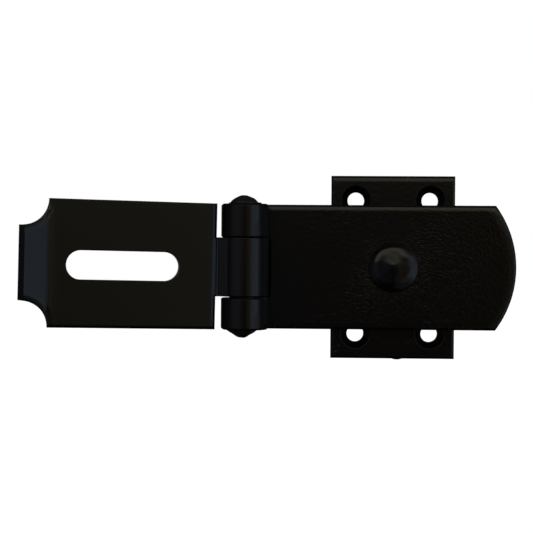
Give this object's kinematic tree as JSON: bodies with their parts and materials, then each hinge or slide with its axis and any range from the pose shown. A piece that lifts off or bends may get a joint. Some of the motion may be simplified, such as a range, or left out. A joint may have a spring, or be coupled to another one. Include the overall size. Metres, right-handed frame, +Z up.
{
  "type": "swivel locking bar",
  "caption": "Flat steel locking bar that turns on a stud over its screw plate, with a hinged slotted flap for a padlock staple.",
  "frame": {"origin": "middle of the fixing plate's back face, on the axis that the bar swivels about", "axes": "+X along the bar towards its rounded end, +Y into the door, +Z up as fixed"},
  "size_m": [0.1942, 0.0423, 0.0745],
  "materials": {
    "plate_paint": "black paint on steel, satin",
    "stud_paint": "black paint on a turned and peened steel head, semi-gloss",
    "bar_paint": "black paint on steel with a fine orange peel, satin",
    "flap_paint": "smooth black paint on steel, satin",
    "pin_paint": "black paint on hammered steel, satin"
  },
  "bodies": {
    "plate": {"fixing_plate": "plate_paint", "swivel_stud": "stud_paint"},
    "arm": {"bar": "bar_paint", "hinge_pin": "pin_paint"},
    "hasp": {"flap": "flap_paint"}
  },
  "joints": [
    {"name": "bar_swivel", "type": "hinge", "parent": "plate", "child": "arm", "pos_m": [0, 0, 0], "axis": [0, -1, 0], "continuous": true},
    {"name": "flap_hinge", "type": "hinge", "parent": "arm", "child": "hasp", "pos_m": [-0.0594, -0.0147, 0], "axis": [0, 0, 1], "range_deg": [-121, 163]}
  ]
}
